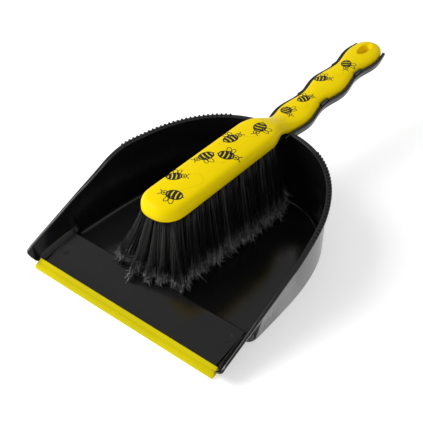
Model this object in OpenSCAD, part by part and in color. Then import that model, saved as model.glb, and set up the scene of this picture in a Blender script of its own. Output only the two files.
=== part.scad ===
// Dust pan with a hand brush parked in it: a moulded pan with a soft lip,
// and a one-piece brush stock and handle set with ranks of bristle tufts.
// Lengths are millimetres. X runs across, Y from the lip to the handle's end, Z up.

/* [Pan] */
// Overall length, from the front of the lip to the tip of the brush handle
overall_length = 370; // [350:1:450]
// How far the brush handle's tip stands past the end of the pan's handle
tip_overhang = 7; // [3:0.5:12]
// Width of the tray's floor between the outer faces of its side walls
floor_width = 193; // [160:1:235]
// How far each side wall leans out at the full loft height
side_lean = 12.5; // [6:0.5:20]
// Wall and floor thickness of the moulding
wall = 2.2; // [1.6:0.1:3]
// Height of the rim where the tray meets the handle
rim_height = 71; // [60:0.2:90]
// Height of the rim where the steep front part ends
shoulder_height = 57.5; // [45:0.5:66]
// Width that the rolled rim stands out from the wall
rim_width = 2.5; // [1:0.1:4]
// Height of the rolled rim's edge
rim_drop = 3.2; // [2:0.1:6]

/* [Apron and lip] */
// Distance from the lip's front to the step down into the tray
step_y = 43.6; // [35:0.2:55]
// Height of the top of the step
step_height = 12.3; // [8:0.1:18]
// How far each end of the soft lip strip stops short of the tray's outer side faces
lip_inset = 1.7; // [0.5:0.1:6]
// Depth of the lip strip from front to back
lip_depth = 7.7; // [6:0.1:12]
// Height of the lip strip's back edge
lip_height = 6.9; // [5.8:0.1:9]

/* [Handle channel] */
// Rise of the handle for each millimetre of its length
handle_rise = 0.085; // [0:0.005:0.12]
// Depth of the channel below the rim
channel_depth = 5.4; // [4.5:0.1:10]
// Gap between the brush handle and the channel's side
channel_gap = 0.8; // [0.5:0.1:2]
// Gap left under the brush handle
seat_gap = 0.4; // [0.3:0.1:1]
// Gap between a snap tab and the brush handle
tab_gap = 0.35; // [0.3:0.05:0.6]
// Radius of the hanging hole in the channel's floor
hang_r = 4; // [3:0.1:4.5]
// Distance from the brush handle's tip back to the hanging hole
hang_inset = 21; // [18:0.5:28]

/* [Brush] */
// Distance from the front of the lip to the front of the brush stock
stock_front = 43; // [40:0.5:60]
// Width of the brush stock
stock_width = 38.4; // [34:0.2:48]
// Height of the stock's underside above the ground
stock_z = 76.6; // [74:0.2:95]
// Thickness of the stock at its crown
stock_thick = 12.4; // [11.2:0.2:20]
// Height of the handle's crown above the rim of the channel
grip_crown = 6; // [4:0.2:12]
// Mean width of the wavy handle
grip_width = 26; // [22:0.5:34]
// How far the finger waves go in and out
grip_wave = 2; // [0:0.1:3]
// Length of one finger wave
grip_pitch = 56; // [48:0.5:64]
// Distance from the lip's front to the first bulge of the handle
grip_first = 235; // [230:0.5:242]
// Length of the oval hole near the handle's tip
eye_length = 19; // [11:0.5:22]
// Width of the oval hole near the handle's tip
eye_width = 8.6; // [8.2:0.1:12]

/* [Bristles] */
// Number of ranks along the stock
ranks = 17; // [10:1:17]
// Distance between ranks
rank_pitch = 8.6; // [8.5:0.1:9.5]
// Distance from the stock's front to the first rank
rank_inset = 10; // [9:0.5:14]
// Distance between neighbouring tufts of a rank
tuft_pitch = 6.6; // [5.5:0.1:8]
// Radius of a tuft where it leaves the stock
tuft_r = 2.1; // [1.5:0.1:2.4]
// Radius of a tuft at its splayed tips
tip_r = 4; // [2.5:0.1:4.1]
// Half width of the whole field of tips along its outer tufts
tip_spread = 26; // [20:0.5:34]
// Gap between the tips and the tray's floor
tip_clear = 0.4; // [0.3:0.1:3]
// Gap around a tuft in its hole
hole_gap = 0.1; // [0.05:0.05:0.3]
// Depth of a tuft hole
hole_depth = 8.5; // [6:0.5:9]

/* [Hidden] */
loft_height = 90;         // height at which the upper outline of the tray is stated
corner_y = 60;            // where the straight sides end and the rounded back begins
tray_back = 210.5;         // outer face of the back wall at floor level
back_lean = 1.5;          // how far the back wall leans out at loft_height
shoulder_y = 112;         // where the rim's steep front part ends
mouth_y = 214;            // where the rim runs into the handle
tip_y = overall_length;
pan_end = overall_length - tip_overhang;
outline_steps = 20;       // points along a quarter of the rounded back
channel_wall = 1.8;
channel_flange = 1.2;
column_count = 5;
lip_width = floor_width - 2 * lip_inset;
hole_r = tuft_r + hole_gap;
root_depth = hole_depth - 2.5;
staple_height = 1.9;
staple_length = 2 * tuft_r - 0.4;
staple_thick = 0.5;
skin = 1.1;               // least plastic left around a tuft hole
over = 1;                 // how far a cutting shape runs past what it cuts

function lerp(a, b, t) = a + (b - a) * t;
function clamp01(t) = max(0, min(1, t));
function ease(a, b, y) = let (t = clamp01((y - a) / (b - a))) t * t * (3 - 2 * t);
function bump(t, power) = pow(1 - pow(clamp01(t), power), 1 / power);

// Half outline of the tray at a share h of the loft height, set in or out by grow
function half_width(h) = floor_width / 2 + side_lean * h;
function back_reach(h) = tray_back - corner_y + back_lean * h;
function corner_power(h) = 2.75 - 0.56 * h;
function tray_half(h, grow, front) = concat(
  [[half_width(h) + grow, front]],
  [for (i = [0:outline_steps - 1]) let (a = 90 * i / outline_steps, p = 2 / corner_power(h))
    [(half_width(h) + grow) * pow(cos(a), p), corner_y + (back_reach(h) + grow) * pow(sin(a), p)]],
  [[0, corner_y + back_reach(h) + grow]]);
function both_sides(half) = concat(half,
  [for (i = [len(half) - 2:-1:0]) [-half[i][0], half[i][1]]]);

// Height of the rim and of the handle's flange at a distance y from the lip
nose = [[8, 3], [4.5, 5.2], [1.2, 8.6], [0.2, 11.4], [1.4, 14], [5, 16.4]];
function handle_line(y) = rim_height + (y - mouth_y) * handle_rise;
function front_line(y) = lerp(nose[5][1], shoulder_height, (y - nose[5][0]) / (shoulder_y - nose[5][0]));
function back_line(y) = lerp(shoulder_height, rim_height, (y - shoulder_y) / (mouth_y - shoulder_y));
function rim_z(y) = y > mouth_y ? handle_line(y) : lerp(front_line(y), back_line(y), ease(shoulder_y - 24, shoulder_y + 28, y));
rim_stations = [for (y = [12:8:mouth_y - 2]) y];

// Top face of the apron and the lines parallel to it
apron_y = 3.2;
apron_slope = (step_height - 5) / (step_y - lip_depth);
function apron_z(y) = 5 + (y - lip_depth) * apron_slope;

// Half width of the brush seen from above
stock_nose = 20;          // length of the rounded front in plan
nose_power = 2.3;         // the higher, the squarer the front; 2 is an ellipse
stock_end = 175;          // where the stock starts to narrow towards the neck
neck_y = grip_first - grip_pitch / 2;
tip_round = 17;           // length of the rounded tip in plan
tip_power = 2.2;
nose_drop = 4;            // how far the crown falls to the front and to the tip
tip_drop = 5;
drop_length = 14;
function grip_half(y) = grip_width / 2 + grip_wave * cos(360 * (y - grip_first) / grip_pitch);
function brush_half(y) =
  lerp(stock_width / 2, grip_half(max(y, neck_y)), ease(stock_end, neck_y, y))
  * bump((stock_front + stock_nose - y) / stock_nose, nose_power)
  * bump((y - tip_y + tip_round) / tip_round, tip_power);
brush_stations = concat(
  [for (t = [0, 0.5, 2, 4.5, 8, 13]) stock_front + t],
  [stock_front + stock_nose, 120],
  [for (y = [stock_end:4:tip_y - tip_round]) y],
  [for (t = [15, 11, 7, 4, 1.6, 0.4, 0]) tip_y - t]);

// Underside and crown of the brush along its length
function grip_bottom(y) = handle_line(y) - channel_depth + seat_gap;
function brush_bottom(y) = lerp(stock_z, grip_bottom(y), ease(stock_end + 15, mouth_y + 12, y));
function brush_top(y) = lerp(stock_z + stock_thick, handle_line(y) + grip_crown, ease(stock_end + 10, mouth_y + 12, y))
  - nose_drop * (1 - bump((stock_front + drop_length - y) / drop_length, 2))
  - tip_drop * (1 - bump((y - tip_y + drop_length) / drop_length, 2));

rank_names = [for (i = [1:ranks]) str(i < 10 ? "0" : "", i)];
function rank_y(i) = stock_front + rank_inset + i * rank_pitch;
function columns(i) = [for (c = [-(column_count - 1) / 2:(column_count - 1) / 2])
  if (abs(c) * tuft_pitch + hole_r + skin <= brush_half(rank_y(i))) c * tuft_pitch];
outer_column = (column_count - 1) / 2 * tuft_pitch;
tuft_drop = stock_z - wall - tip_clear;
function tuft_lean(x) = atan((tip_spread / outer_column - 1) * x / tuft_drop);

// Everything is drawn from the lip's front edge and centred here
module placed() {
  translate([0, -overall_length / 2, 0]) children();
}

// A closed outline of [y, z] points stretched across the object
module across(outline, width) {
  rotate([90, 0, 90]) linear_extrude(width, center = true) polygon(outline);
}

// Solid between the tray's floor outline and its upper outline
module tray_loft(grow, front, low) {
  bottom = both_sides(tray_half(low / loft_height, grow, front));
  top = both_sides(tray_half(1, grow, front));
  n = len(bottom);
  polyhedron(
    points = concat([for (p = bottom) [p[0], p[1], low]], [for (p = top) [p[0], p[1], loft_height]]),
    faces = concat(
      [[for (i = [0:n - 1]) i], [for (i = [n - 1:-1:0]) n + i]],
      [for (i = [0:n - 1]) let (j = (i + 1) % n) [i, n + i, n + j]],
      [for (i = [0:n - 1]) let (j = (i + 1) % n) [i, n + j, j]]));
}

// The wavy outline of the handle seen from above, set out by grow
module grip_plan(grow, from, to, low, high) {
  ys = [for (y = [from:4:to - 2]) y];
  right = concat([for (y = ys) [grip_half(max(y, neck_y)) + grow, y]], [[grip_half(to) + grow, to]]);
  translate([0, 0, low]) linear_extrude(high - low)
    polygon(concat(right, [for (i = [len(right) - 1:-1:0]) [-right[i][0], right[i][1]]]));
}

// Side view of the tray, hollow under the apron, up to the rim
module tray_side(drop) {
  across(concat(
    [for (p = nose) [p[0], p[1] - drop]],
    [for (y = rim_stations) [y, rim_z(y) - drop]],
    [[mouth_y + 6, rim_z(mouth_y + 6) - drop], [mouth_y + 6, 0], [step_y, 0],
     [step_y, apron_z(step_y) - wall], [nose[0][0], apron_z(nose[0][0]) - wall]]), 2 * floor_width);
}

// Strip of the side view that the rolled rim takes up
module rim_band() {
  line = concat([for (p = nose) if (p[1] > nose[2][1]) p],
    [for (y = rim_stations) [y, rim_z(y)]],
    [[mouth_y, rim_z(mouth_y)], [pan_end, rim_z(pan_end)]]);
  across(concat(line, [for (i = [len(line) - 1:-1:0]) [line[i][0] + (i < 2 ? 1.5 : 0), line[i][1] - rim_drop]]),
    2 * floor_width);
}

// Side view of the handle channel between two offsets from the rim line
module channel_side(from, to, low, high) {
  across([[from, handle_line(from) + low], [from, handle_line(from) + high],
    [to, handle_line(to) + high], [to, handle_line(to) + low]], 2 * floor_width);
}

// What stays solid below the tray's inner surface: apron, step and floor
module floor_side() {
  across([[apron_y, -over], [apron_y, apron_z(apron_y)], [step_y, step_height],
    [step_y + wall, step_height], [step_y + wall, wall], [pan_end, wall], [pan_end, -over]], 2 * floor_width);
}

module tray_cavity() {
  difference() {
    tray_loft(-wall, -2 * over, -over);
    floor_side();
  }
}

module channel_cavity() {
  intersection() {
    grip_plan(channel_gap, mouth_y - 20, pan_end + over, 0, loft_height + 20);
    channel_side(mouth_y - 20, pan_end + over, -channel_depth, loft_height);
  }
}

// A pair of small snap tabs beside the brush handle at one waist
module tabs(y) {
  length = 9;
  depth = 3;
  reach = grip_half(y) + tab_gap;
  for (side = [-1, 1])
    intersection() {
      translate([side * (reach + (channel_gap + channel_wall) / 2), y, loft_height / 2])
        cube([channel_gap + channel_wall, length, loft_height], center = true);
      channel_side(mouth_y, pan_end, -depth, 0);
    }
}

module pan() {
  color([0.06, 0.06, 0.065])
  placed() {
    difference() {
      union() {
        intersection() {
          tray_loft(0, nose[3][0], 0);
          tray_side(0);
        }
        intersection() {
          tray_loft(rim_width, nose[3][0], 0);
          rim_band();
        }
        intersection() {
          grip_plan(channel_gap + channel_wall, mouth_y - 12, pan_end, 0, loft_height + 20);
          channel_side(mouth_y - 12, pan_end, -channel_depth - channel_wall, 0);
        }
        intersection() {
          grip_plan(channel_gap + channel_wall + channel_flange, mouth_y - 2, pan_end, 0, loft_height + 20);
          channel_side(mouth_y - 2, pan_end, -rim_drop, 0);
        }
      }
      tray_cavity();
      channel_cavity();
      translate([0, overall_length - hang_inset, 0]) cylinder(r = hang_r, h = loft_height, $fn = 64);
    }
    tabs(neck_y + grip_pitch);
    tabs(neck_y + 2 * grip_pitch);
  }
}

// Soft strip that clips over the front edge of the apron
module lip_strip() {
  grip = 0.05;
  color([0.93, 0.85, 0.02])
  placed()
    across([[0, 0], [0, 2.8], [0.5, 3.6], [lip_depth, lip_height], [lip_depth, apron_z(lip_depth) + grip],
      [apron_y - grip, apron_z(apron_y) + grip], [apron_y - grip, apron_z(apron_y) - wall - grip],
      [lip_depth - 0.4, apron_z(lip_depth - 0.4) - wall - grip], [lip_depth - 0.4, 0.9], [4.6, 0]], lip_width);
}

module brush_plan() {
  right = [for (y = brush_stations) [brush_half(y), y]];
  linear_extrude(loft_height + 30)
    polygon(concat(right, [for (i = [len(right) - 2:-1:1]) [-right[i][0], right[i][1]]]));
}

module brush_side() {
  across(concat([for (y = brush_stations) [y, brush_top(y)]],
    [for (i = [len(brush_stations) - 1:-1:0]) [brush_stations[i], brush_bottom(brush_stations[i])]]), 2 * stock_width);
}

// Oval eye through the handle, over the pan's hanging hole
module eye() {
  reach = (eye_length - eye_width) / 2;
  translate([0, overall_length - hang_inset, 0]) {
    for (s = [-1, 1]) translate([0, s * reach, 0]) cylinder(d = eye_width, h = loft_height + 30, $fn = 48);
    translate([-eye_width / 2, -reach, 0]) cube([eye_width, 2 * reach, loft_height + 30]);
  }
}

module brush_stock() {
  color([0.98, 0.86, 0.02])
  placed()
    difference() {
      intersection() {
        brush_plan();
        brush_side();
      }
      eye();
      for (i = [0:ranks - 1], x = columns(i))
        translate([0, rank_y(i), 0]) tuft_axis(x)
          translate([0, 0, -2 * over]) cylinder(r = hole_r, h = hole_depth + 2 * over, $fn = 24);
    }
}

// Hole, anchor and tuft of a column share an axis, which leans outwards on its way down
module tuft_axis(x) {
  translate([x, 0, stock_z]) rotate([0, -tuft_lean(x), 0]) children();
}

// One tuft: a straight root in its hole and a bundle that fans out to the tips
module tuft(x) {
  a = tuft_lean(x);
  reach = tuft_drop / cos(a) - tip_r * abs(tan(a));
  tuft_axis(x)
    rotate_extrude($fn = 24)
      polygon([[0, -reach], [tip_r, -reach], [tuft_r, 0], [tuft_r, root_depth], [0, root_depth]]);
}

module tuft_rank(i) {
  color([0.05, 0.05, 0.05])
  placed()
    translate([0, rank_y(i), 0]) for (x = columns(i)) tuft(x);
}

// Flat metal anchors that pin each folded tuft at the bottom of its hole
module anchor_rank(i) {
  color([0.7, 0.7, 0.72])
  placed()
    translate([0, rank_y(i), 0]) for (x = columns(i))
      tuft_axis(x) translate([0, 0, root_depth + 0.1 + staple_height / 2])
        cube([staple_length, staple_thick, staple_height], center = true);
}

pan();
lip_strip();
brush_stock();
for (i = [0:ranks - 1])
  tuft_rank(i);
for (i = [0:ranks - 1])
  anchor_rank(i);
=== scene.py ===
import math
import random

import bpy
from mathutils import Matrix, Vector


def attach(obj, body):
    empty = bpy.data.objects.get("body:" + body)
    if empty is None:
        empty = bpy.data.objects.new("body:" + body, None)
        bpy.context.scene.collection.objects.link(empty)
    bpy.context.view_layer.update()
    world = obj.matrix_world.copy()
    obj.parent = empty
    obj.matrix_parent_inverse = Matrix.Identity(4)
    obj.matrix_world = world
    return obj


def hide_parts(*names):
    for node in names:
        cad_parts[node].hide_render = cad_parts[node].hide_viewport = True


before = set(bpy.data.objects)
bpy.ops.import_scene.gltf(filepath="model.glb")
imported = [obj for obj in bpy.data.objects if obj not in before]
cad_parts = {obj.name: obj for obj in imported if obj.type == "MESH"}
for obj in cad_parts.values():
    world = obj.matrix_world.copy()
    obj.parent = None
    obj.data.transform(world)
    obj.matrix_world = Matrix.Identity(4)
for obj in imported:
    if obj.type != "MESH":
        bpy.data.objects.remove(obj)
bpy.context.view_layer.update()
print("frame loaded:", len(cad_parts), "CAD nodes")

# Sizes below are millimetres measured from the front of the lip; spot() turns them into the frame's metres
mm = 0.001
lipToOrigin = 185.0


def spot(x, y, z):
    return Vector((x * mm, (y - lipToOrigin) * mm, z * mm))


def lerp(a, b, t):
    return a + (b - a) * t


def clamp01(t):
    return max(0.0, min(1.0, t))


def ease(a, b, y):
    t = clamp01((y - a) / (b - a))
    return t * t * (3 - 2 * t)


def bump(t, power):
    return (1 - clamp01(t) ** power) ** (1 / power)


def deselectAll():
    bpy.ops.object.select_all(action="DESELECT")


def openMesh(obj):
    deselectAll()
    obj.select_set(True)
    bpy.context.view_layer.objects.active = obj
    bpy.ops.object.mode_set(mode="EDIT")
    bpy.ops.mesh.select_mode(type="FACE")
    bpy.ops.mesh.select_all(action="SELECT")


def closeMesh(obj, angle=40):
    bpy.ops.object.mode_set(mode="OBJECT")
    deselectAll()
    obj.select_set(True)
    bpy.context.view_layer.objects.active = obj
    bpy.ops.object.shade_smooth_by_angle(angle=math.radians(angle))


def applyModifier(obj, kind, **settings):
    deselectAll()
    obj.select_set(True)
    bpy.context.view_layer.objects.active = obj
    modifier = obj.modifiers.new(kind.title(), kind)
    for key, value in settings.items():
        setattr(modifier, key, value)
    bpy.ops.object.modifier_apply(modifier=modifier.name)


def settle(obj):
    # puts a piece's place into its mesh, so its object sits at the origin
    deselectAll()
    obj.select_set(True)
    bpy.context.view_layer.objects.active = obj
    bpy.ops.object.transform_apply(location=True, rotation=True, scale=True)


def loftedGrid(name, columns, rows, place, angle=40, fillEnds=True):
    # a grid primitive whose points are set by a formula, because the curved walls here follow one that
    # no edit tool gives; meeting edges are merged, open ends filled and normals made consistent
    deselectAll()
    bpy.ops.mesh.primitive_grid_add(x_subdivisions=columns, y_subdivisions=rows, size=1)
    obj = bpy.context.object
    obj.name = obj.data.name = name
    for vertex in obj.data.vertices:
        column = round((vertex.co.x + 0.5) * columns)
        row = round((vertex.co.y + 0.5) * rows)
        vertex.co = spot(*place(column, row))
    openMesh(obj)
    bpy.ops.mesh.remove_doubles(threshold=2e-6)
    if fillEnds:
        bpy.ops.mesh.select_mode(type="EDGE")
        bpy.ops.mesh.select_all(action="DESELECT")
        bpy.ops.mesh.select_non_manifold(extend=False)
        bpy.ops.mesh.fill_holes(sides=0)
    bpy.ops.mesh.select_all(action="SELECT")
    bpy.ops.mesh.normals_make_consistent(inside=False)
    closeMesh(obj, angle)
    return obj


def joined(parts, name):
    deselectAll()
    for part in parts:
        part.select_set(True)
    bpy.context.view_layer.objects.active = parts[0]
    if len(parts) > 1:
        bpy.ops.object.join()
    obj = bpy.context.view_layer.objects.active
    obj.name = obj.data.name = name
    return obj


# camera, floor and light

cameraLook = {
    "target": (-0.01367, -0.05062, 0.01776),
    "azimuth": 38.9,
    "elevation": 39.58,
    "distance": 0.7831,
    "lens": 76.43,
}

azimuth = math.radians(cameraLook["azimuth"])
elevation = math.radians(cameraLook["elevation"])
backward = Vector((math.sin(azimuth) * math.cos(elevation), -math.cos(azimuth) * math.cos(elevation),
                   math.sin(elevation)))
cameraData = bpy.data.cameras.new("setCamera")
cameraData.lens = cameraLook["lens"]
cameraData.sensor_width = 36
cameraData.sensor_fit = "HORIZONTAL"
cameraObject = bpy.data.objects.new("setCamera", cameraData)
bpy.context.scene.collection.objects.link(cameraObject)
cameraObject.location = Vector(cameraLook["target"]) + backward * cameraLook["distance"]
cameraObject.rotation_euler = backward.to_track_quat("Z", "Y").to_euler()
bpy.context.scene.camera = cameraObject
bpy.context.scene.view_settings.view_transform = "Standard"

studio = {
    "worldStrength": 0.42,
    "keyPower": 11.6,
    "keyPlace": (-0.70, -0.60, 0.90),
    "keySize": 0.8,
    "fillPower": 1.0,
    "fillPlace": (0.95, 0.25, 0.9),
    "fillSize": 1.2,
    "floorTone": 0.86,
    "floorGlow": 0.47,
}

world = bpy.data.worlds.new("softStudio")
world.use_nodes = True
bpy.context.scene.world = world
world.node_tree.nodes["Background"].inputs["Color"].default_value = (1, 1, 1, 1)
world.node_tree.nodes["Background"].inputs["Strength"].default_value = studio["worldStrength"]


def areaLight(name, place, size, power):
    data = bpy.data.lights.new(name, "AREA")
    data.shape = "SQUARE"
    data.size = size
    data.energy = power
    lamp = bpy.data.objects.new(name, data)
    bpy.context.scene.collection.objects.link(lamp)
    lamp.location = place
    lamp.rotation_euler = (Vector(place) - Vector((0, -0.02, 0.03))).to_track_quat("Z", "Y").to_euler()


areaLight("keyLight", studio["keyPlace"], studio["keySize"], studio["keyPower"])
areaLight("fillLight", studio["fillPlace"], studio["fillSize"], studio["fillPower"])


# finishes

def newMaterial(name):
    material = bpy.data.materials.new(name)
    material.use_nodes = True
    return material, material.node_tree, material.node_tree.nodes["Principled BSDF"]


def addNode(tree, kind, **settings):
    node = tree.nodes.new(kind)
    for key, value in settings.items():
        if key in node.inputs:
            node.inputs[key].default_value = value
        else:
            setattr(node, key, value)
    return node


def noiseOn(tree, scale, detail=2.0, roughness=0.5, stretch=None):
    # noise on the piece's own coordinates, stretched along an axis where asked
    coordinates = addNode(tree, "ShaderNodeTexCoord")
    noise = addNode(tree, "ShaderNodeTexNoise", Scale=scale, Detail=detail, Roughness=roughness)
    if stretch:
        mapping = addNode(tree, "ShaderNodeMapping")
        mapping.inputs["Scale"].default_value = stretch
        tree.links.new(coordinates.outputs["Object"], mapping.inputs["Vector"])
        tree.links.new(mapping.outputs["Vector"], noise.inputs["Vector"])
    else:
        tree.links.new(coordinates.outputs["Object"], noise.inputs["Vector"])
    return noise


def ramped(tree, source, stops, low=0.35, high=0.65):
    ramp = addNode(tree, "ShaderNodeValToRGB")
    elements = ramp.color_ramp.elements
    elements[0].position, elements[0].color = low, stops[0]
    elements[1].position, elements[1].color = high, stops[1]
    tree.links.new(source, ramp.inputs["Fac"])
    return ramp.outputs["Color"]


def spread(tree, source, low, high):
    spreader = addNode(tree, "ShaderNodeMapRange")
    spreader.inputs["To Min"].default_value = low
    spreader.inputs["To Max"].default_value = high
    tree.links.new(source, spreader.inputs["Value"])
    return spreader.outputs["Result"]


def bumped(tree, shader, source, strength, distance):
    node = addNode(tree, "ShaderNodeBump", Strength=strength, Distance=distance)
    tree.links.new(source, node.inputs["Height"])
    tree.links.new(node.outputs["Normal"], shader.inputs["Normal"])


def plasticFinish(name, darker, lighter, roughLow, roughHigh, grain, grainDepth, coat, specular=0.5):
    material, tree, shader = newMaterial(name)
    cloud = noiseOn(tree, 14.0, 2.0)
    tree.links.new(ramped(tree, cloud.outputs["Fac"], (darker, lighter)), shader.inputs["Base Color"])
    haze = noiseOn(tree, 60.0, 4.0, 0.6)
    tree.links.new(spread(tree, haze.outputs["Fac"], roughLow, roughHigh), shader.inputs["Roughness"])
    fine = noiseOn(tree, grain, 3.0, 0.55)
    bumped(tree, shader, fine.outputs["Fac"], 0.25, grainDepth)
    shader.inputs["Coat Weight"].default_value = coat
    shader.inputs["Coat Roughness"].default_value = 0.06
    shader.inputs["Specular IOR Level"].default_value = specular
    return material


glossBlack = plasticFinish("glossBlack", (0.0048, 0.0048, 0.0054, 1), (0.0066, 0.0066, 0.0074, 1),
                           0.12, 0.20, 90.0, 0.00006, 0.0)
sunYellow = plasticFinish("sunYellow", (0.95, 0.705, 0.0004, 1), (0.98, 0.735, 0.0005, 1),
                          0.30, 0.40, 260.0, 0.00006, 0.0, 0.05)
softLip = plasticFinish("softLip", (0.62, 0.53, 0.0006, 1), (0.70, 0.59, 0.0008, 1),
                        0.52, 0.64, 900.0, 0.00008, 0.0, 0.06)
printInk = plasticFinish("printInk", (0.010, 0.009, 0.006, 1), (0.020, 0.018, 0.010, 1),
                         0.38, 0.50, 700.0, 0.00004, 0.0, 0.3)


def bristleFinish():
    material, tree, shader = newMaterial("splitNylon")
    coordinates = addNode(tree, "ShaderNodeTexCoord")
    split = addNode(tree, "ShaderNodeSeparateXYZ")
    tree.links.new(coordinates.outputs["Object"], split.inputs["Vector"])
    # the colour lightens from the stock down to the strands' lower ends: partly the split tips' own grey, partly
    # painted light, as the ramp's light end is white to lift the shade that the stock casts on the tips
    height = addNode(tree, "ShaderNodeMapRange")
    height.inputs["From Min"].default_value = 0.026
    height.inputs["From Max"].default_value = 0.009
    height.inputs["To Min"].default_value = 0.20
    tree.links.new(split.outputs["Z"], height.inputs["Value"])
    shade = addNode(tree, "ShaderNodeAttribute", attribute_name="strandShade")
    weight = addNode(tree, "ShaderNodeMath", operation="MULTIPLY")
    tree.links.new(height.outputs["Result"], weight.inputs[0])
    tree.links.new(shade.outputs["Fac"], weight.inputs[1])
    color = ramped(tree, weight.outputs["Value"], ((0.014, 0.014, 0.0145, 1), (1.0, 1.0, 1.0, 1)), 0.10, 0.9)
    tree.links.new(color, shader.inputs["Base Color"])
    tree.links.new(spread(tree, shade.outputs["Fac"], 0.28, 0.45), shader.inputs["Roughness"])
    return material


def steelFinish():
    material, tree, shader = newMaterial("anchorSteel")
    brushed = noiseOn(tree, 400.0, 3.0, 0.5, (1, 1, 8))
    tree.links.new(ramped(tree, brushed.outputs["Fac"], ((0.42, 0.42, 0.43, 1), (0.62, 0.62, 0.64, 1))),
                   shader.inputs["Base Color"])
    tree.links.new(spread(tree, brushed.outputs["Fac"], 0.25, 0.45), shader.inputs["Roughness"])
    shader.inputs["Metallic"].default_value = 1.0
    return material


def floorFinish():
    material, tree, shader = newMaterial("paleFloor")
    tone = studio["floorTone"]
    cloud = noiseOn(tree, 3.0, 2.0)
    stops = (tone, tone, tone, 1), (tone + 0.01, tone + 0.01, tone + 0.01, 1)
    tree.links.new(ramped(tree, cloud.outputs["Fac"], stops), shader.inputs["Base Color"])
    shader.inputs["Roughness"].default_value = 0.9
    shader.inputs["Specular IOR Level"].default_value = 0.1
    shader.inputs["Emission Color"].default_value = (1, 1, 1, 1)
    shader.inputs["Emission Strength"].default_value = studio["floorGlow"]
    return material


splitNylon = bristleFinish()
anchorSteel = steelFinish()
paleFloor = floorFinish()


def finish(obj, material, body, nodes=()):
    obj.data.materials.clear()
    obj.data.materials.append(material)
    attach(obj, body)
    if nodes:
        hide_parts(*nodes)


deselectAll()
bpy.ops.mesh.primitive_plane_add(size=6, location=(0, 0, -0.0002))
floorPlane = bpy.context.object
floorPlane.name = "paleFloor"
openMesh(floorPlane)
bpy.ops.mesh.subdivide(number_cuts=3)
closeMesh(floorPlane)
settle(floorPlane)
floorPlane.data.materials.append(paleFloor)
print("camera, light and floor set")


# pan

pan = {
    "halfFloor": 96.5,       # half width of the tray at the ground, and below it at the loft height
    "halfTop": 109.0,
    "cornerY": 60.0,
    "reachFloor": 150.5,
    "reachTop": 152.0,
    "powerFloor": 2.75,
    "powerTop": 2.19,
    "loftHeight": 90.0,
    "wall": 2.2,
    "rimOut": 2.5,
    "rimDrop": 3.2,
    "rimEdge": 0.8,
    "shoulder": (112.0, 57.5),
    "rimBack": (214.0, 71.0),
    "noseTop": (5.0, 16.4),
    "noseFront": 0.2,        # where the side walls begin, and the height of their front tip
    "noseLow": 11.4,
    "flareEdge": 104.9,      # where the rim's outer edge runs straight along the front part
    "flareFade": (66, 92),
    "flarePower": 0.35,
    "tuck": 3.0,             # how far the flank's foot leans in beside the apron
    "tuckFade": (42, 55),
    "footRadius": 1.5,
    "handleRise": 0.085,
    "stepY": 43.6,
    "stepTop": 12.3,
    "apronFront": 5.0,
    "apronCurve": 0.12,
    "stepEdge": 2.4,
    "cornerRadius": 8.0,
    "filletRadius": 3.4,
    "channelDepth": 5.4,
    "channelWall": 1.8,
    "channelFlange": 1.2,
    "channelGap": 0.8,
    "panEnd": 363.0,
    "holeY": 349.0,
    "holeRadius": 4.0,
}

lip = {"halfWidth": 94.8, "depth": 7.7, "clear": 0.25}
grip = {"middle": 13.0, "wave": 2.0, "pitch": 56.0, "first": 235.0, "neck": 207.0}


def handleLine(y):
    return pan["rimBack"][1] + (y - pan["rimBack"][0]) * pan["handleRise"]


def gripHalf(y):
    phase = 2 * math.pi * (max(y, grip["neck"]) - grip["first"]) / grip["pitch"]
    return grip["middle"] + grip["wave"] * math.cos(phase)


def rimZ(y):
    if y > pan["rimBack"][0]:
        return handleLine(y)
    shoulderY, shoulderZ = pan["shoulder"]
    noseY, noseZ = pan["noseTop"]
    front = lerp(noseZ, shoulderZ, (y - noseY) / (shoulderY - noseY))
    back = lerp(shoulderZ, pan["rimBack"][1], (y - shoulderY) / (pan["rimBack"][0] - shoulderY))
    if y < noseY:
        share = clamp01((y - pan["noseFront"]) / (noseY - pan["noseFront"]))
        return pan["noseLow"] + (noseZ - pan["noseLow"]) * share ** 0.5
    return lerp(front, back, ease(shoulderY - 24, shoulderY + 28, y))


def apronZ(y):
    # level just behind the lip, then sloping up to the step
    share = (y - lip["depth"]) / (pan["stepY"] - lip["depth"])
    curve = pan["apronCurve"]
    full = 1 - curve + curve * math.exp(-1 / curve)
    climbed = max(0.0, share - curve + curve * math.exp(-max(share, 0) / curve))
    return min(pan["stepTop"], pan["apronFront"] + (pan["stepTop"] - pan["apronFront"]) * climbed / full)


def outlineSpot(station, z, grow):
    # station: side (-1 or 1), y on the straight part, angle on the rounded back or None
    side, y, angle = station
    share = z / pan["loftHeight"]
    if angle is None:
        return side * lerp(pan["halfFloor"] + grow, pan["halfTop"] + grow, share), y
    c, s = max(0.0, math.cos(angle)), max(0.0, math.sin(angle))
    spots = []
    for half, reach, power in ((pan["halfFloor"], pan["reachFloor"], pan["powerFloor"]),
                               (pan["halfTop"], pan["reachTop"], pan["powerTop"])):
        spots.append(((half + grow) * c ** (2 / power), pan["cornerY"] + (reach + grow) * s ** (2 / power)))
    return side * lerp(spots[0][0], spots[1][0], share), lerp(spots[0][1], spots[1][1], share)


def rimAt(station):
    z = 60.0
    for _ in range(4):
        z = rimZ(outlineSpot(station, z, 0)[1])
    return z


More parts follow.
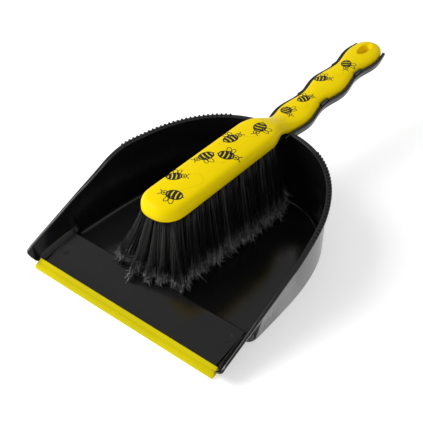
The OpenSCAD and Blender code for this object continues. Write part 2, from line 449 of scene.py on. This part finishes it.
straightYs = [0.3, 0.6, 1.2, 2.2, 3.5, 5, 6.5, 8, 10, 12, 15, 18, 22, 26, 30, 34, 38, 41.5,
              44, 46, 48, 50.6, 50.7, 52, 54, 56, 60]
wallGroundY = 50.65       # behind this the side walls reach the ground
notchAngle = 85.3         # from here to the middle the back wall makes way for the handle
backAngles = [1.2 * i for i in range(1, 71)] + [85.0, notchAngle, notchAngle + 0.1, 86.5, 88.2, 90.0]
rightStations = [(1, y, None) for y in straightYs] + [(1, 0, math.radians(a)) for a in backAngles]
leftStations = [(-1, s[1], s[2]) for s in rightStations[:-1]]
wallStations = rightStations + leftStations[::-1]


def wallSection(station):
    # closed section of the wall as (set-out, height), from the inner fillet over the rim and down the outside
    side, y, angle = station
    wall = pan["wall"]
    top = rimAt(station) if angle is not None else rimZ(y)
    inNotch = angle is not None and math.degrees(angle) > notchAngle + 0.05
    atY = y if angle is None else outlineSpot(station, top, 0)[1]
    flange = 0.0 if inNotch else pan["rimOut"] * ease(14, 105, atY)
    if inNotch:
        top = top - pan["channelDepth"] - 0.2
    if angle is not None or y > wallGroundY:
        low = 0.0
    elif y > 8:
        low = apronZ(y) - wall
    else:
        low = pan["noseLow"] - 8.4 * ((y - pan["noseFront"]) / 7.8) ** 0.5
    floorTop = 2.15 if (angle is not None or y > 52) else max(apronZ(y), low) + 0.01
    fillet = pan["filletRadius"]
    if angle is None:
        fillet *= ease(4, 14, y) * (1 - ease(38, 44, y) * (1 - ease(52, 60, y)) * 0.75)
    fillet = min(max(fillet, 0.05), (top - floorTop) * 0.45)
    edge = min(pan["rimEdge"], (top - low) * 0.3)
    drop = min(pan["rimDrop"], (top - low) * 0.4)
    foot = min(pan["footRadius"], (top - low) * 0.2)
    # near the front the side is a flank that flares from the apron out to the rim
    plainEdge = flange + abs(outlineSpot(station, top, 0)[0])
    flare = max(0.0, pan["flareEdge"] - plainEdge) * (1 - ease(*pan["flareFade"], atY))
    if angle is None and y < 2:
        flare -= 2.2 * (1 - y / 2) ** 2
    tuck = pan["tuck"] * (1 - ease(*pan["tuckFade"], atY)) * ease(1, 9, atY)
    wall = wall * (1 + 0.25 * (1 - ease(*pan["tuckFade"], atY)))
    points = [(-wall - fillet - 0.4, floorTop - 0.02)]
    for i in range(7):
        t = math.radians(15 * i)
        points.append((-wall - fillet * (1 - math.sin(t)), floorTop + fillet * (1 - math.cos(t))))
    for i in range(4):
        t = math.radians(30 * i)
        points.append((-wall + edge * (1 - math.cos(t)), top - edge * (1 - math.sin(t))))
    for i in range(4):
        t = math.radians(30 * i)
        points.append((flange - edge * (1 - math.sin(t)), top - edge * (1 - math.cos(t))))
    under = top - drop
    points += [(flange, under + 0.5), (flange * 0.86, under + 0.12), (flange * 0.7, under),
               (flange * 0.25, under), (flange * 0.06, under - 0.15), (0.0, under - 0.7)]
    for i in range(4):
        t = math.radians(30 * i)
        points.append((-foot * (1 - math.cos(t)), low + foot * (1 - math.sin(t))))
    points.append((-wall - fillet - 0.4, low))
    power = pan["flarePower"]
    points = [(out + lerp(-tuck, flare, clamp01((z - low) / (top - low)) ** power), z) for out, z in points]
    if angle is None and y < 9:
        # beside the lip's ends the wall keeps clear of them
        nearest = lip["halfWidth"] + lip["clear"]
        points = [(max(out, nearest - abs(outlineSpot(station, z, 0)[0])), z) for out, z in points]
    return points


wallSections = [wallSection(s) for s in wallStations]
wallRows = len(wallSections[0])


def placeWall(column, row):
    station = wallStations[column]
    out, z = wallSections[column][row % wallRows]
    x, y = outlineSpot(station, z, out)
    return x, y, z


trayWall = loftedGrid("trayWall", len(wallStations) - 1, wallRows, placeWall, angle=38)
print("tray wall lofted")

# apron with the step down into the tray; its corners turn back into the side walls
apronXs = [0, 25, 50, 70, 82, 86, 88.5, 89.5, 90.5, 91.9, 92.1, 93.3, 94.0, 94.6, 95.2, 95.6, 96.0, 96.3, 96.45]
apronXs = [-x for x in apronXs[:0:-1]] + apronXs


def apronSection(x):
    wall = pan["wall"]
    turn = clamp01((abs(x) - 88.5) / pan["cornerRadius"])
    step = pan["stepY"] + pan["cornerRadius"] * (1 - math.sqrt(max(0.0, 1 - turn * turn)))
    front = 3.2 if abs(x) < 92.0 else step - 1.0
    top = pan["stepTop"]
    alongs = [max(front, y) for y in (3.2, 8, 10, 12, 14, 17, 20, 26, 32, 38)]
    points = [(y, apronZ(y)) for y in alongs]
    points += [(step - 1.2, apronZ(step - 1.2)), (step - 0.8, apronZ(step - 0.8) + 0.01)]
    edge = pan["stepEdge"]
    for i in range(7):
        t = math.radians(15 * i)
        points.append((step + wall - edge * (1 - math.sin(t)), top - edge * (1 - math.cos(t))))
    for i in range(5):
        t = math.radians(22.5 * i)
        points.append((step + wall + 1.6 * (1 - math.cos(t)), 2.15 + 1.6 * (1 - math.sin(t))))
    points += [(step + wall + 2.0, 2.1), (step + wall + 2.0, 0.02), (step + 1.2, 0.0)]
    for i in range(4):
        t = math.radians(30 * i)
        points.append((step + 1.2 * (1 - math.sin(t)), 1.2 * (1 - math.cos(t))))
    points += [(step, apronZ(pan["stepY"]) - wall - 0.8), (step - 0.3, apronZ(pan["stepY"]) - wall - 0.2)]
    points += [(y, apronZ(y) - wall) for y in alongs[:1:-2]]
    return points + [(front, apronZ(front) - wall)]


apronRows = len(apronSection(0))
apronSections = [apronSection(x) for x in apronXs]


def placeApron(column, row):
    y, z = apronSections[column][row % apronRows]
    return apronXs[column], y, z


trayApron = loftedGrid("trayApron", len(apronXs) - 1, apronRows, placeApron, angle=38)

# flat floor, a disc pressed to the tray's outline
floorLine = []
for i in range(0, 91, 10):
    t = math.radians(i)
    floorLine.append((88.5 + 6.9 * math.sin(t), 51.6 - 6.9 * math.cos(t)))
floorLine += [outlineSpot(s, 2.2, -pan["wall"] - 0.5) for s in rightStations if s[2] is not None or s[1] > 53.5]
floorLine += [(-x, y) for x, y in floorLine[-2::-1]]
deselectAll()
bpy.ops.mesh.primitive_circle_add(vertices=len(floorLine), radius=0.1, fill_type="NGON")
trayFloor = bpy.context.object
trayFloor.name = trayFloor.data.name = "trayFloor"
ringOrder = sorted(trayFloor.data.vertices, key=lambda v: math.atan2(v.co.y, v.co.x))
startAt = min(range(len(floorLine)), key=lambda i: math.atan2(floorLine[i][1] - 120, floorLine[i][0]))
for i, vertex in enumerate(ringOrder):
    x, y = floorLine[(startAt + i) % len(floorLine)]
    vertex.co = spot(x, y, 0.0)
openMesh(trayFloor)
bpy.ops.mesh.extrude_region_move(TRANSFORM_OT_translate={"value": (0, 0, 2.2 * mm)})
bpy.ops.mesh.select_all(action="SELECT")
bpy.ops.mesh.normals_make_consistent(inside=False)
closeMesh(trayFloor)
print("tray floor and apron made")

# wavy channel that the brush handle lies in
channelYs = [203 + 2.5 * i for i in range(64)] + [pan["panEnd"] - 0.5, pan["panEnd"]]
channelYs = sorted(set(y for y in channelYs if y <= pan["panEnd"]) | {211.9, 212.1})


def channelSection(y):
    inner = gripHalf(y) + pan["channelGap"]
    outer = inner + pan["channelWall"]
    edge = 0.5
    flange = outer + (pan["channelFlange"] if y > 212 else 0.02)
    top = handleLine(y) - (0.0 if y > 212 else 0.35)
    inBottom, outBottom = top - pan["channelDepth"], top - pan["channelDepth"] - pan["channelWall"]
    half = [(0.0, inBottom)]
    for i in range(4):
        t = math.radians(30 * i)
        half.append((inner - 1.0 * (1 - math.sin(t)), inBottom + 1.0 * (1 - math.cos(t))))
    for i in range(4):
        t = math.radians(30 * i)
        half.append((inner + edge * (1 - math.cos(t)), top - edge * (1 - math.sin(t))))
    for i in range(4):
        t = math.radians(30 * i)
        half.append((flange - edge * (1 - math.sin(t)), top - edge * (1 - math.cos(t))))
    half += [(flange, top - 2.7), (flange - 0.3, top - 3.2), (outer + 0.02, top - 3.3), (outer, outBottom + 1.4)]
    for i in range(1, 4):
        t = math.radians(30 * i)
        half.append((outer - 1.4 * (1 - math.cos(t)), outBottom + 1.4 * (1 - math.sin(t))))
    half.append((0.0, outBottom))
    return half + [(-x, z) for x, z in half[-2:0:-1]]


channelSections = [channelSection(y) for y in channelYs]
channelRows = len(channelSections[0])


def placeChannel(column, row):
    x, z = channelSections[column][row % channelRows]
    return x, channelYs[column], z


handleChannel = loftedGrid("handleChannel", len(channelYs) - 1, channelRows, placeChannel, angle=38)
deselectAll()
bpy.ops.mesh.primitive_cylinder_add(vertices=48, radius=pan["holeRadius"] * mm, depth=30 * mm,
                                    location=spot(0, pan["holeY"], 75))
holeCutter = bpy.context.object
settle(holeCutter)
applyModifier(handleChannel, "BOOLEAN", operation="DIFFERENCE", solver="EXACT", object=holeCutter)
bpy.data.objects.remove(holeCutter)
print("handle channel made")


# small rounded teeth along the outer edge of the rim, modelled once and copied round it
teeth = {"count": 27, "pitch": 4.0, "fromY": 118.0, "size": (3.5, 2.0, 1.5), "bevel": 0.42, "setIn": 1.55}


def roundedBlock(name, size, bevel, segments=2):
    deselectAll()
    bpy.ops.mesh.primitive_cube_add(size=1)
    block = bpy.context.object
    block.name = block.data.name = name
    block.scale = tuple(s * mm for s in size)
    settle(block)
    openMesh(block)
    bpy.ops.mesh.select_mode(type="EDGE")
    bpy.ops.mesh.select_all(action="SELECT")
    bpy.ops.mesh.bevel(offset=bevel * mm, segments=segments)
    closeMesh(block)
    return block


def placedCopy(master, name, matrix):
    copy = bpy.data.objects.new(name, master.data.copy())
    bpy.context.scene.collection.objects.link(copy)
    copy.data.transform(matrix)
    return copy


rimLine = []
for i in range(0, 801):
    station = (1, 0, math.radians(1.0 + 80.0 * i / 800))
    z = rimAt(station)
    x, y = outlineSpot(station, z, pan["rimOut"] - teeth["setIn"])
    rimLine.append(spot(x, y, z))
toothMaster = roundedBlock("rimTooth", teeth["size"], teeth["bevel"])
toothParts = []
travelled, wanted = 0.0, None
for a, b in zip(rimLine, rimLine[1:]):
    if a.y < (teeth["fromY"] - lipToOrigin) * mm:
        continue
    if wanted is None:
        wanted = travelled
    if travelled >= wanted and len(toothParts) < 2 * teeth["count"]:
        along = (b - a).normalized()
        across = Vector((along.y, -along.x, 0)).normalized()
        up = along.cross(across) * -1
        if up.z < 0:
            up = -up
        middle = a + up * 0.15 * mm
        turn = Matrix((across, along, up)).transposed().to_4x4()
        toothParts.append(placedCopy(toothMaster, "toothRight", Matrix.Translation(middle) @ turn))
        mirrored = Matrix.Diagonal((-1, 1, 1, 1)) @ Matrix.Translation(middle) @ turn
        toothParts.append(placedCopy(toothMaster, "toothLeft", mirrored))
        toothParts[-1].data.flip_normals()
        wanted += teeth["pitch"] * mm
    travelled += (b - a).length
bpy.data.objects.remove(toothMaster)
rimTeeth = joined(toothParts, "rimTeeth")

# snap tabs at two waists of the channel, and two round marks on the apron
tabs = {"waists": (263.0, 319.0), "size": (2.3, 12.0, 6.4), "bevel": 0.8, "gap": 0.4}
marks = {"places": ((-84.5, 26.6), (83.5, 33.0)), "radius": 4.0, "rim": 0.6, "dent": 0.12}

tabParts = []
for y in tabs["waists"]:
    for side in (-1, 1):
        tab = roundedBlock("snapTab", tabs["size"], tabs["bevel"], 3)
        reach = gripHalf(y) + tabs["gap"]
        tab.data.transform(Matrix.Translation(spot(side * (reach + 1.15), y + 1.5, handleLine(y) - 0.6)))
        tabParts.append(tab)
snapTabs = joined(tabParts, "snapTabs")

markParts = []
for x, y in marks["places"]:
    deselectAll()
    bpy.ops.mesh.primitive_cylinder_add(vertices=32, radius=marks["radius"] * mm, depth=0.8 * mm)
    mark = bpy.context.object
    openMesh(mark)
    bpy.ops.mesh.select_all(action="DESELECT")
    bpy.ops.object.mode_set(mode="OBJECT")
    for face in mark.data.polygons:
        face.select = face.normal.z > 0.9
    bpy.ops.object.mode_set(mode="EDIT")
    bpy.ops.mesh.inset(thickness=marks["rim"] * mm, depth=-marks["dent"] * mm)
    closeMesh(mark, 30)
    lean = Matrix.Rotation(math.atan2(pan["stepTop"] - pan["apronFront"], pan["stepY"] - lip["depth"]), 4, "X")
    mark.data.transform(Matrix.Translation(spot(x, y, apronZ(y) - 0.30)) @ lean)
    markParts.append(mark)
apronMarks = joined(markParts, "apronMarks")

finish(trayWall, glossBlack, "pan", ["pan"])
for piece in (trayApron, trayFloor, handleChannel, rimTeeth, snapTabs, apronMarks):
    finish(piece, glossBlack, "pan", ["pan"])
print("pan finished")


# lip

lipProfile = [(0.5, 0.0), (0.15, 0.15), (0.0, 0.5), (0.0, 2.5), (0.12, 2.95), (0.5, 3.35), (1.0, 3.62),
              (2.4, 4.25), (2.75, 4.12), (3.1, 4.55), (6.6, 6.18), (6.75, 6.45), (7.0, 6.6), (7.35, 6.62), (7.7, 6.4),
              (7.7, 5.02), (3.2, 5.02), (3.15, 2.75), (7.3, 2.75), (7.3, 0.9), (4.6, 0.0)]
lipXs = [-94.8, -94.4, -60, -20, 20, 60, 94.4, 94.8]


def placeLip(column, row):
    x = lipXs[column]
    y, z = lipProfile[row % len(lipProfile)]
    if abs(x) > 94.6:     # the ends are eased a little
        y, z = lerp(y, 3.6, 0.04), lerp(z, 3.2, 0.04)
    return x, y, z


softStrip = loftedGrid("softStrip", len(lipXs) - 1, len(lipProfile), placeLip, angle=25)
finish(softStrip, softLip, "pan", ["lip_strip"])
print("lip made")


# brush stock and handle

stock = {
    "front": 43.0, "tip": 370.0, "halfWidth": 19.2, "nose": 20.0, "end": 175.0,
    "underside": 76.6, "crown": 89.0, "gripCrown": 6.0, "tipRound": 14.0,
    "stockDrop": 2.2, "gripDrop": 2.8, "noseDrop": 3.4, "tipDrop": 3.8,
    "stockEdge": 5.0, "gripEdge": 3.6,
    "nosePower": 2.3, "tipPower": 2.7,       # the higher, the squarer the end; 2 is an ellipse
    "neckFade": (185, 226),                  # where the stock's section turns into the handle's
    "spineInset": 13,
}


def brushHalf(y):
    base = lerp(stock["halfWidth"], gripHalf(y), ease(stock["end"], grip["neck"], y))
    nose = bump((stock["front"] + stock["nose"] - y) / stock["nose"], stock["nosePower"])
    tip = bump((y - stock["tip"] + stock["tipRound"]) / stock["tipRound"], stock["tipPower"])
    return base * nose * tip


def brushLow(y):
    return lerp(stock["underside"], handleLine(y) - pan["channelDepth"] + 0.4, ease(190, 226, y))


def brushCrown(y):
    return lerp(stock["crown"], handleLine(y) + stock["gripCrown"], ease(*stock["neckFade"], y))


def crownDrop(y):
    drop = lerp(stock["stockDrop"], stock["gripDrop"], ease(*stock["neckFade"], y))
    drop = lerp(stock["noseDrop"], drop, ease(stock["front"], stock["front"] + 16, y))
    return lerp(drop, stock["tipDrop"], ease(stock["tip"] - 16, stock["tip"], y))


def crownAt(x, y):
    # height of the top surface away from its rounded edge
    half = max(brushHalf(y), 0.5)
    return brushCrown(y) - crownDrop(y) * min(1.0, abs(x) / half) ** 2


noseSteps = [0, 0.02, 0.08, 0.2, 0.4, 0.75, 1.3, 2.1, 3.2, 4.8, 7, 10, 13, 16, 20]
tipSteps = [14, 12.5, 10.5, 8.5, 6.2, 4.4, 3, 1.9, 1.1, 0.55, 0.2, 0.05, 0]
stockYs = [stock["front"] + t for t in noseSteps] + [stock["front"] + stock["nose"] + 5.6 * i for i in range(1, 20)]
stockYs += [175 + 3 * i for i in range(61) if 175 + 3 * i < 355] + [stock["tip"] - t for t in tipSteps]
outlineRight = [(brushHalf(y), y) for y in stockYs]
stockOutline = outlineRight + [(-x, y) for x, y in outlineRight[-2:0:-1]]
edgeAngles = [12, 26, 40, 54, 70, 90]
topShares = [0.2, 0.4, 0.6, 0.8, 1.0]


def placeStock(column, row):
    x, y = stockOutline[column % len(stockOutline)]
    spineY = max(stock["front"] + stock["spineInset"], min(stock["tip"] - stock["spineInset"], y))
    toSpine = Vector((-x, spineY - y))
    length = max(toSpine.length, 1e-6)
    edge = lerp(stock["stockEdge"], stock["gripEdge"], ease(*stock["neckFade"], y))
    low, crown, drop = brushLow(y), brushCrown(y), crownDrop(y)
    if row == 0:
        return 0.0, spineY, brushLow(spineY)
    if row == 1 or row == 2:
        inset = (0.5, 0.0)[row - 1]
        px, py = x + toSpine.x / length * inset, y + toSpine.y / length * inset
        return px, py, low + (0.0, 0.5)[row - 1]
    if row == 3:
        return x, y, crown - drop - edge
    if row <= 9:
        t = math.radians(edgeAngles[row - 4])
        inset = edge * (1 - math.cos(t))
        px, py = x + toSpine.x / length * inset, y + toSpine.y / length * inset
        share = 1 - inset / length
        return px, py, brushCrown(py) - drop * share * share - edge * (1 - math.sin(t))
    share = lerp(edge / length, 1.0, topShares[row - 10])
    px, py = x + toSpine.x * share, y + toSpine.y * share
    return px, py, brushCrown(py) - drop * (1 - share) ** 2


brushStock = loftedGrid("brushStock", len(stockOutline), 14, placeStock, angle=50, fillEnds=False)

# oval eye near the tip, its mouth flared and its tip end sloped
eye = {"middleY": 349.0, "halfLength": 9.8, "halfWidth": 4.4,
       "rings": ((-8.0, 1.0, 0.0), (3.2, 1.0, 0.0), (4.4, 1.02, 0.2), (5.2, 1.07, 0.5), (5.8, 1.15, 0.9),
                 (6.4, 1.28, 1.5), (9.0, 1.7, 2.8))}     # height over the handle line, growth, shift to the tip
deselectAll()
bpy.ops.mesh.primitive_circle_add(vertices=64, radius=1, fill_type="NGON")
eyeCutter = bpy.context.object
eyeBase = handleLine(eye["middleY"])
openMesh(eyeCutter)
bpy.ops.transform.resize(value=(eye["halfWidth"] * mm, eye["halfLength"] * mm, 1))
bpy.ops.transform.translate(value=spot(0, eye["middleY"], eyeBase + eye["rings"][0][0]))
lastRing = eye["rings"][0]
for ring in eye["rings"][1:]:
    rise = 0, (ring[2] - lastRing[2]) * mm, (ring[0] - lastRing[0]) * mm
    bpy.ops.mesh.extrude_region_move(TRANSFORM_OT_translate={"value": rise})
    growBy = ring[1] / lastRing[1]
    bpy.ops.transform.resize(value=(growBy, lerp(1, growBy, 0.55), 1),
                             center_override=spot(0, eye["middleY"] + ring[2], eyeBase + ring[0]))
    lastRing = ring
bpy.ops.mesh.select_all(action="SELECT")
bpy.ops.mesh.normals_make_consistent(inside=False)
closeMesh(eyeCutter)
applyModifier(brushStock, "BOOLEAN", operation="DIFFERENCE", solver="EXACT", object=eyeCutter)
bpy.data.objects.remove(eyeCutter)
closeMesh(brushStock, 50)
finish(brushStock, sunYellow, "brush", ["brush_stock"])
print("brush stock made")


# printed bees, of a plain made-up design, and their dotted trails

bees = {
    # x, y on the crown, heading in degrees, length in mm
    "places": ((3.5, 64.5, 200, 15), (-8.5, 84.5, 35, 14), (-8.5, 118.0, 250, 15), (6.5, 131.5, 20, 15),
               (-6.5, 153.5, 75, 15), (2.5, 178.0, 285, 15), (-3.5, 228.4, 330, 13), (-1.0, 253.5, 60, 13),
               (-5.0, 288.0, 25, 13), (0.5, 318.0, 300, 13)),
    "unit": 8.4,             # the drawn bee's length, which the lengths above are shared by
    "lift": 0.07,
    "thickness": 0.35,
    "dotPitch": 1.8,
}


def inkStroke(name, points, widths, closed=False):
    # a flat printed line through points, drawn at the origin in millimetres times mm
    count = len(points)

    def place(column, row):
        i = column % count
        before = points[(i - 1) % count] if (closed or i > 0) else points[i]
        after = points[(i + 1) % count] if (closed or i < count - 1) else points[i]
        along = Vector((after[0] - before[0], after[1] - before[1])).normalized()
        side = Vector((-along.y, along.x)) * widths[i] / 2
        sign = (1, 1, -1, -1)[row % 4]
        height = (0.0, 1.0, 1.0, 0.0)[row % 4]
        return points[i][0] + side.x * sign, points[i][1] + side.y * sign + lipToOrigin, height

    return loftedGrid(name, count if closed else count - 1, 4, place, angle=40, fillEnds=not closed)


def ovalPoints(cx, cy, rx, ry, turn, count):
    points = []
    for i in range(count):
        t = 2 * math.pi * i / count
        x, y = rx * math.cos(t), ry * math.sin(t)
        points.append((cx + x * math.cos(turn) - y * math.sin(turn), cy + x * math.sin(turn) + y * math.cos(turn)))
    return points


def beePrint():
    # body along x, ten units long: ringed outline, three bands, round head, two wings and two feelers
    parts = [inkStroke("bodyRing", ovalPoints(-1.2, 0, 3.6, 2.85, 0, 26), [0.65] * 26, True)]
    for x, width in ((-3.45, 1.35), (-1.45, 1.45), (0.6, 1.35)):
        reach = 2.8 * math.sqrt(max(0.0, 1 - ((x + 1.2) / 3.6) ** 2))
        points = [(x + 0.35 * (1 - (t / reach) ** 2), t) for t in [reach * k / 4 for k in range(-4, 5)]]
        parts.append(inkStroke("bodyBand", points, [width] * 9))
    parts.append(inkStroke("headRing", ovalPoints(3.4, 0, 1.35, 1.45, 0, 18), [0.4] * 18, True))
    parts.append(inkStroke("headDot", [(3.0 + 0.35 * k, 0) for k in range(4)], [0.5, 1.1, 1.1, 0.5]))
    parts.append(inkStroke("wingNear", ovalPoints(-0.9, 3.7, 2.4, 1.15, 1.9, 20), [0.34] * 20, True))
    parts.append(inkStroke("wingFar", ovalPoints(0.9, 3.5, 2.0, 0.95, 1.25, 18), [0.34] * 18, True))
    for side in (-1, 1):
        points = [(4.3 + 1.5 * t, side * (0.5 + 1.3 * t * t)) for t in (0, 0.25, 0.5, 0.75, 1.0)]
        parts.append(inkStroke("feeler", points, [0.3, 0.3, 0.3, 0.34, 0.6]))
    parts.append(inkStroke("sting", [(-4.9, 0), (-5.3, 0), (-5.8, 0)], [0.7, 0.45, 0.1]))
    return joined(parts, "beePrint")


def drape(obj, place, heading, size):
    # turns, sizes and lays a flat print on the crown
    cosine, sine = math.cos(heading), math.sin(heading)
    for vertex in obj.data.vertices:
        x, y, height = vertex.co.x / mm * size, vertex.co.y / mm * size, vertex.co.z / mm
        px, py = place[0] + x * cosine - y * sine, place[1] + x * sine + y * cosine
        z = crownAt(px, py) + (bees["lift"] if height > 0.5 else bees["lift"] - bees["thickness"])
        vertex.co = spot(px, py, z)


beeMaster = beePrint()
beeParts = []
for x, y, heading, length in bees["places"]:
    copy = placedCopy(beeMaster, "bee", Matrix.Identity(4))
    drape(copy, (x, y), math.radians(heading), length / bees["unit"])
    beeParts.append(copy)
bpy.data.objects.remove(beeMaster)
beePrints = joined(beeParts, "beePrints")
finish(beePrints, printInk, "brush", ["brush_stock"])

trails = (((3.5, 70), (9, 80), (12, 92), (4, 98), (-3, 92), (-8.5, 90)),
          ((-9, 92), (-13, 104), (-12, 111)),
          ((-5, 123), (2, 118), (9, 122), (8, 127)),
          ((3, 137), (-3, 141), (-10, 140), (-12, 148)),
          ((-4, 160), (4, 163), (8, 170)),
          ((0, 187), (-5, 196), (2, 205), (4, 214), (-2, 222)),
          ((1, 236), (7, 243), (4, 249)),
          ((-4, 262), (-8, 272), (-3, 281)),
          ((0, 296), (6, 303), (3, 310)))
dotMaster = inkStroke("trailDot", ovalPoints(0, 0, 0.12, 0.12, 0, 6), [0.2] * 6, True)
dotParts = []
for trail in trails:
    legs = list(zip(trail, trail[1:]))
    for n, (a, b) in enumerate(legs):
        before = trail[max(0, n - 1)]
        after = trail[min(len(trail) - 1, n + 2)]
        steps = max(2, round(math.dist(a, b) / bees["dotPitch"]))
        for k in range(steps):
            t = k / steps
            x, y = (0.5 * (2 * a[j] + (b[j] - before[j]) * t + (2 * before[j] - 5 * a[j] + 4 * b[j] - after[j]) * t * t
                           + (3 * a[j] - before[j] - 3 * b[j] + after[j]) * t ** 3) for j in (0, 1))
            copy = placedCopy(dotMaster, "dot", Matrix.Identity(4))
            drape(copy, (x, y), 0.0, 1.0)
            dotParts.append(copy)
bpy.data.objects.remove(dotMaster)
trailDots = joined(dotParts, "trailDots")
finish(trailDots, printInk, "brush", ["brush_stock"])
print("prints laid on the crown:", len(bees["places"]), "bees and", len(dotParts), "dots")


# bristles

bristles = {
    "ranks": 17, "firstY": 53.0, "rankPitch": 8.6, "columnPitch": 6.6,
    "clumps": 15, "perClump": 7, "rootRadius": 2.0, "strandRadius": 0.22, "tipRadius": 0.15,
    "tuftSpread": 6.4, "tipLow": 0.6, "tipHigh": 6.3, "fanPower": 1.12,
    "frontReach": 12.5, "frontFade": (53, 80),       # how far the first ranks fan forward, and where that ends
    "backReach": 7.0, "backFade": (165, 192),
    "flags": 4, "flagRadius": 0.20, "flagReach": 2.1,
}


def rodTemplate(radius, tipRadius, cuts):
    # one strand: a three-sided tapered rod from z = 0 at its start to z = 1 at its end
    deselectAll()
    bpy.ops.mesh.primitive_cone_add(vertices=3, radius1=radius, radius2=tipRadius, depth=1, location=(0, 0, 0.5))
    rod = bpy.context.object
    settle(rod)
    openMesh(rod)
    bpy.ops.mesh.select_all(action="DESELECT")
    bpy.ops.object.mode_set(mode="OBJECT")
    for edge in rod.data.edges:
        a, b = (rod.data.vertices[i].co.z for i in edge.vertices)
        edge.select = abs(a - b) > 0.5
    bpy.ops.object.mode_set(mode="EDIT")
    bpy.ops.mesh.select_mode(type="EDGE")
    bpy.ops.mesh.subdivide(number_cuts=cuts)
    bpy.ops.object.mode_set(mode="OBJECT")
    template = [v.co.copy() for v in rod.data.vertices], [tuple(f.vertices) for f in rod.data.polygons]
    bpy.data.objects.remove(rod)
    return template


strandRod = rodTemplate(bristles["strandRadius"], bristles["tipRadius"], 3)
flagRod = rodTemplate(bristles["flagRadius"], 0.07, 1)
shade = random.Random(41)


def tipField(column, y):
    # where a column's tips reach across the tray: they splay most at the front left
    share = (y - 50) / 145
    right = lerp(19.0, 28.5, clamp01(share))
    left = lerp(41.0, 30.0, clamp01(share * 1.4))
    return column / 2 * (right - 3.5 if column > 0 else left - 3.5)


def floorUnder(y):
    # the tray's floor, or the apron in front of the step
    return apronZ(y) if y < pan["stepY"] + 2 else 2.2


def layRod(rod, start, end, bow, fanPower, tone, vertices, faces, shades):
    # a copy of a rod bent between two points
    rodVertices, rodFaces = rod
    base = len(vertices)
    turn = shade.uniform(0, 2 * math.pi)
    turnCos, turnSin = math.cos(turn), math.sin(turn)
    for v in rodVertices:
        belly, fan = 4 * v.z * (1 - v.z), v.z ** fanPower
        vertices.append(spot(lerp(start[0], end[0], fan) + bow[0] * belly + v.x * turnCos - v.y * turnSin,
                             lerp(start[1], end[1], fan) + bow[1] * belly + v.x * turnSin + v.y * turnCos,
                             lerp(start[2], end[2], v.z)))
    shades += [tone] * len(rodVertices)
    downwards = end[2] < start[2]
    faces += [tuple(base + i for i in (reversed(face) if downwards else face)) for face in rodFaces]


def rankOfBristles(index):
    rootY = bristles["firstY"] + index * bristles["rankPitch"]
    vertices, faces, shades = [], [], []
    room = brushHalf(rootY) - 2.2        # half width that a rank may fill with the middles of its tufts
    columns = [c for c in (-2, -1, 0, 1, 2) if abs(c) * bristles["columnPitch"] <= room]
    for column in columns:
        for _ in range(bristles["clumps"]):
            angle, radius = shade.uniform(0, 2 * math.pi), math.sqrt(shade.random())
            cosine, sine = math.cos(angle) * radius, math.sin(angle) * radius
            clumpTone = shade.random() ** 1.6
            wander = shade.gauss(0, 1.5), shade.gauss(0, 1.5)
            clumpBow = shade.gauss(0, 0.8), shade.gauss(0, 0.8)
            for _ in range(bristles["perClump"]):
                rootX = column * bristles["columnPitch"] + cosine * bristles["rootRadius"] + shade.uniform(-0.35, 0.35)
                startY = rootY + sine * bristles["rootRadius"] + shade.uniform(-0.35, 0.35)
                tipX = tipField(column, rootY) + cosine * bristles["tuftSpread"] + wander[0] + shade.gauss(0, 0.7)
                forward = (1 - ease(*bristles["frontFade"], rootY)) * -bristles["frontReach"]
                forward *= max(0.0, 1 - ((tipX + 16) / 32) ** 2)
                backward = ease(*bristles["backFade"], rootY) * bristles["backReach"]
                tipY = startY + forward + backward + sine * bristles["tuftSpread"] * 0.9
                tipY += wander[1] + shade.gauss(0, 0.7)
                tipZ = floorUnder(tipY) + lerp(bristles["tipLow"], bristles["tipHigh"], shade.random() ** 1.8)
                start = rootX, startY, stock["underside"] + 1.5
                end = tipX, tipY, tipZ
                bow = clumpBow[0] + shade.gauss(0, 0.3), clumpBow[1] + shade.gauss(0, 0.3)
                tone = 0.3 * clumpTone + 0.7 * shade.random() ** 4
                layRod(strandRod, start, end, bow, bristles["fanPower"], tone, vertices, faces, shades)
                # the split end: short hairs that curl away from the tip, a few of them given a light tone as painted
                # highlights, as if catching the light
                for _ in range(bristles["flags"]):
                    at = shade.uniform(0.84, 0.97)
                    belly, fan = 4 * at * (1 - at), at ** bristles["fanPower"]
                    root = (lerp(start[0], end[0], fan) + bow[0] * belly,
                            lerp(start[1], end[1], fan) + bow[1] * belly, lerp(start[2], end[2], at))
                    reach = bristles["flagReach"]
                    tip = (root[0] + (end[0] - start[0]) * 0.05 + shade.gauss(0, reach),
                           root[1] + (end[1] - start[1]) * 0.05 + shade.gauss(0, reach),
                           root[2] + shade.uniform(-6.0, 3.5))
                    tip = tip[0], tip[1], max(tip[2], floorUnder(tip[1]) + 0.4)
                    curl = shade.gauss(0, 0.5), shade.gauss(0, 0.5)
                    # about a third of the hairs get a light tone: painted highlights, the rest a darker random tone
                    tone = 0.8 if shade.random() < 0.35 else shade.uniform(0.15, 0.45)
                    layRod(flagRod, root, tip, curl, 1.0, tone, vertices, faces, shades)
    mesh = bpy.data.meshes.new(f"bristles{index + 1:02d}")
    mesh.from_pydata(vertices, [], faces)
    attribute = mesh.attributes.new("strandShade", "FLOAT", "POINT")
    attribute.data.foreach_set("value", shades)
    mesh.polygons.foreach_set("use_smooth", [True] * len(faces))
    obj = bpy.data.objects.new(mesh.name, mesh)
    bpy.context.scene.collection.objects.link(obj)
    return obj


strandCount = 0
for index in range(bristles["ranks"]):
    tuftRank = rankOfBristles(index)
    strandCount += len(tuftRank.data.vertices) // (len(strandRod[0]) + bristles["flags"] * len(flagRod[0]))
    finish(tuftRank, splitNylon, "brush", [f"tuft_rank_{index + 1:02d}"])
print("strands laid:", strandCount)

for index in range(bristles["ranks"]):
    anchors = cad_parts[f"anchor_rank_{index + 1:02d}"]
    for materialSlot in anchors.material_slots:
        materialSlot.material = anchorSteel
    if not anchors.material_slots:
        anchors.data.materials.append(anchorSteel)


deselectAll()
